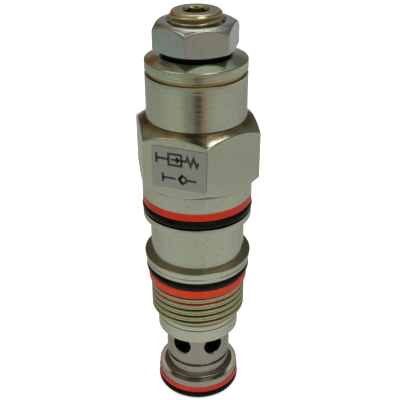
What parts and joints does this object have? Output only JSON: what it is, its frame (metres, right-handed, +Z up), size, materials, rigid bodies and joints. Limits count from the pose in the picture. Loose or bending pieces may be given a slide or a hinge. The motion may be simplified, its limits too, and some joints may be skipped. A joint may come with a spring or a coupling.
{
  "type": "hydraulic cartridge valve",
  "caption": "Screw-in hydraulic cartridge valve with a hexagon body, cavity thread, seal glands, ported floating nose, and an adjusting screw with a lock nut on top.",
  "frame": {"origin": "centre of the nose tip, on the valve's axis", "axes": "+Z up the valve's axis from the nose to the adjusting screw; the hexagon's corners lie on +X and -X, and its labelled flat faces -Y"},
  "size_m": [0.0256, 0.0224, 0.0847],
  "materials": {
    "zinc_plate": "bright zinc plate over turned steel, slightly yellow-green",
    "ground_steel": "fine-turned bare steel",
    "yellow_zinc_plate": "yellow iridescent zinc plate",
    "blue_zinc_plate": "blue-white zinc plate",
    "hardened_steel": "ground and hardened steel",
    "spring_steel": "dark drawn spring wire",
    "seal_rubber": "moulded black nitrile rubber, oiled",
    "backup_ring_red": "smooth red-orange seal plastic",
    "label_foil": "satin silver foil with dark print"
  },
  "bodies": {
    "valve_body": {"hex_body": "zinc_plate", "retaining_collar": "zinc_plate", "adjust_cap": "zinc_plate", "cap_o_ring": "seal_rubber", "stem_o_ring": "seal_rubber", "o_ring_upper": "seal_rubber", "backup_ring_upper": "backup_ring_red", "o_ring_middle": "seal_rubber", "backup_ring_middle": "backup_ring_red", "identification_label": "label_foil", "main_spring": "spring_steel"},
    "nose_assembly": {"port_sleeve": "ground_steel", "nose_retainer": "ground_steel", "o_ring_nose": "seal_rubber", "backup_ring_nose": "backup_ring_red", "check_spring": "spring_steel"},
    "check_seat": {"check_seat": "hardened_steel", "check_seat_o_ring": "seal_rubber"},
    "poppet": {"poppet_piston": "hardened_steel", "piston_o_ring": "seal_rubber", "lower_spring_seat": "hardened_steel"},
    "spring_adjuster": {"upper_spring_seat": "hardened_steel", "adjuster_o_ring": "seal_rubber"},
    "adjusting_screw": {"adjusting_screw": "yellow_zinc_plate"},
    "nut_washer": {"lock_nut_seal": "seal_rubber"},
    "lock_nut": {"lock_nut": "blue_zinc_plate"}
  },
  "joints": [
    {"name": "nose_swivel", "type": "hinge", "parent": "valve_body", "child": "nose_assembly", "pos_m": [0, 0, 0.014], "axis": [0, 0, 1], "continuous": true},
    {"name": "check_open", "type": "slide", "parent": "nose_assembly", "child": "check_seat", "axis": [0, 0, -1], "range_m": [0, 0.0018], "stiffness_N_per_m": 200, "springref_m": -0.004, "deforming": ["check_spring"]},
    {"name": "poppet_lift", "type": "slide", "parent": "valve_body", "child": "poppet", "axis": [0, 0, 1], "range_m": [0, 0.0015], "stiffness_N_per_m": 2000, "springref_m": -0.008, "deforming": ["main_spring"]},
    {"name": "adjust_travel", "type": "slide", "parent": "valve_body", "child": "spring_adjuster", "axis": [0, 0, 1], "range_m": [-0.0021, 0.00158], "deforming": ["main_spring"]},
    {"name": "adjust_turn", "type": "hinge", "parent": "spring_adjuster", "child": "adjusting_screw", "pos_m": [0, 0, 0.0765], "axis": [0, 0, 1], "range_deg": [-720, 540]},
    {"name": "lock_nut_lift", "type": "slide", "parent": "valve_body", "child": "nut_washer", "axis": [0, 0, 1], "range_m": [0, 0.00105]},
    {"name": "lock_nut_turn", "type": "hinge", "parent": "nut_washer", "child": "lock_nut", "pos_m": [0, 0, 0.0805], "axis": [0, 0, 1], "range_deg": [0, 360]}
  ],
  "couplings": [
    {"joint": "adjust_turn", "follows": "adjust_travel", "rad_per_m": 5938.7},
    {"joint": "lock_nut_turn", "follows": "lock_nut_lift", "rad_per_m": 5938.7}
  ]
}
